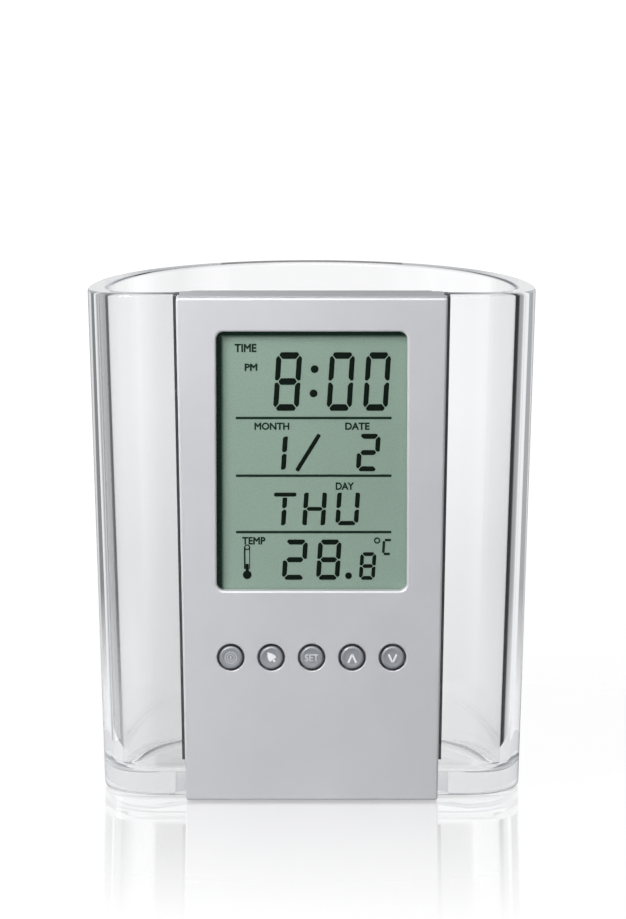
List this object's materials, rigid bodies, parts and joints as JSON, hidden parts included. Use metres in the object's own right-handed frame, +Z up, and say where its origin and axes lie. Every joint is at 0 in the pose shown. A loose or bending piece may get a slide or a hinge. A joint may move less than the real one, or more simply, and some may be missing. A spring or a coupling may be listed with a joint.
{
  "type": "table clock with pen holder",
  "caption": "Clear D-shaped desk cup for pens with a slim digital clock that slides into a slot in its flat front wall, with display window, push buttons and battery door.",
  "frame": {"origin": "centre of the bounding box at the underside of the cup's foot", "axes": "+Z up, -Y towards the front with the display, +X to the viewer's right"},
  "size_m": [0.0924, 0.062, 0.105],
  "materials": {
    "clear_plastic": "clear, polished",
    "silver_plastic": "silver, satin",
    "dark_plastic": "fine matt",
    "button_plastic": "satin grey",
    "lcd_glass": "polished",
    "reflector_foil": "brushed foil",
    "white_plastic": "matt",
    "grey_rubber": "matt",
    "board_laminate": "satin",
    "black_resin": "cast",
    "bright_steel": "plated",
    "spring_brass": "bright"
  },
  "bodies": {
    "cup": {"cup_body": "clear_plastic"},
    "clock": {"battery_cell_left": "bright_steel", "battery_cell_right": "bright_steel", "board_screw_1": "bright_steel", "board_screw_2": "bright_steel", "button_pad": "grey_rubber", "case_screw_1": "bright_steel", "case_screw_2": "bright_steel", "case_screw_3": "bright_steel", "case_screw_4": "bright_steel", "chip_seal": "black_resin", "circuit_board": "board_laminate", "contact_negative": "spring_brass", "contact_positive": "spring_brass", "front_bezel": "silver_plastic", "lcd_front_glass": "lcd_glass", "lcd_holder": "white_plastic", "lcd_rear_glass": "lcd_glass", "lcd_reflector": "reflector_foil", "quartz_crystal": "bright_steel", "rear_housing": "dark_plastic", "sounder_disc": "spring_brass", "temperature_sensor": "black_resin", "zebra_strip": "grey_rubber"},
    "door": {"battery_door": "dark_plastic", "door_contact": "spring_brass"},
    "mode_button": {"button_mode": "button_plastic"},
    "alarm_button": {"button_alarm": "button_plastic"},
    "set_button": {"button_set": "button_plastic"},
    "up_button": {"button_up": "button_plastic"},
    "down_button": {"button_down": "button_plastic"}
  },
  "joints": [
    {"name": "clock_lift", "type": "slide", "parent": "cup", "child": "clock", "axis": [0, 0, 1], "range_m": [0, 0.106]},
    {"name": "door_lift", "type": "slide", "parent": "clock", "child": "door", "axis": [0, 1, 0], "range_m": [0, 0.012]},
    {"name": "mode_press", "type": "slide", "parent": "clock", "child": "mode_button", "axis": [0, 1, 0], "range_m": [0, 0.0005], "stiffness_N_per_m": 600},
    {"name": "alarm_press", "type": "slide", "parent": "clock", "child": "alarm_button", "axis": [0, 1, 0], "range_m": [0, 0.0005], "stiffness_N_per_m": 600},
    {"name": "set_press", "type": "slide", "parent": "clock", "child": "set_button", "axis": [0, 1, 0], "range_m": [0, 0.0005], "stiffness_N_per_m": 600},
    {"name": "up_press", "type": "slide", "parent": "clock", "child": "up_button", "axis": [0, 1, 0], "range_m": [0, 0.0005], "stiffness_N_per_m": 600},
    {"name": "down_press", "type": "slide", "parent": "clock", "child": "down_button", "axis": [0, 1, 0], "range_m": [0, 0.0005], "stiffness_N_per_m": 600}
  ]
}
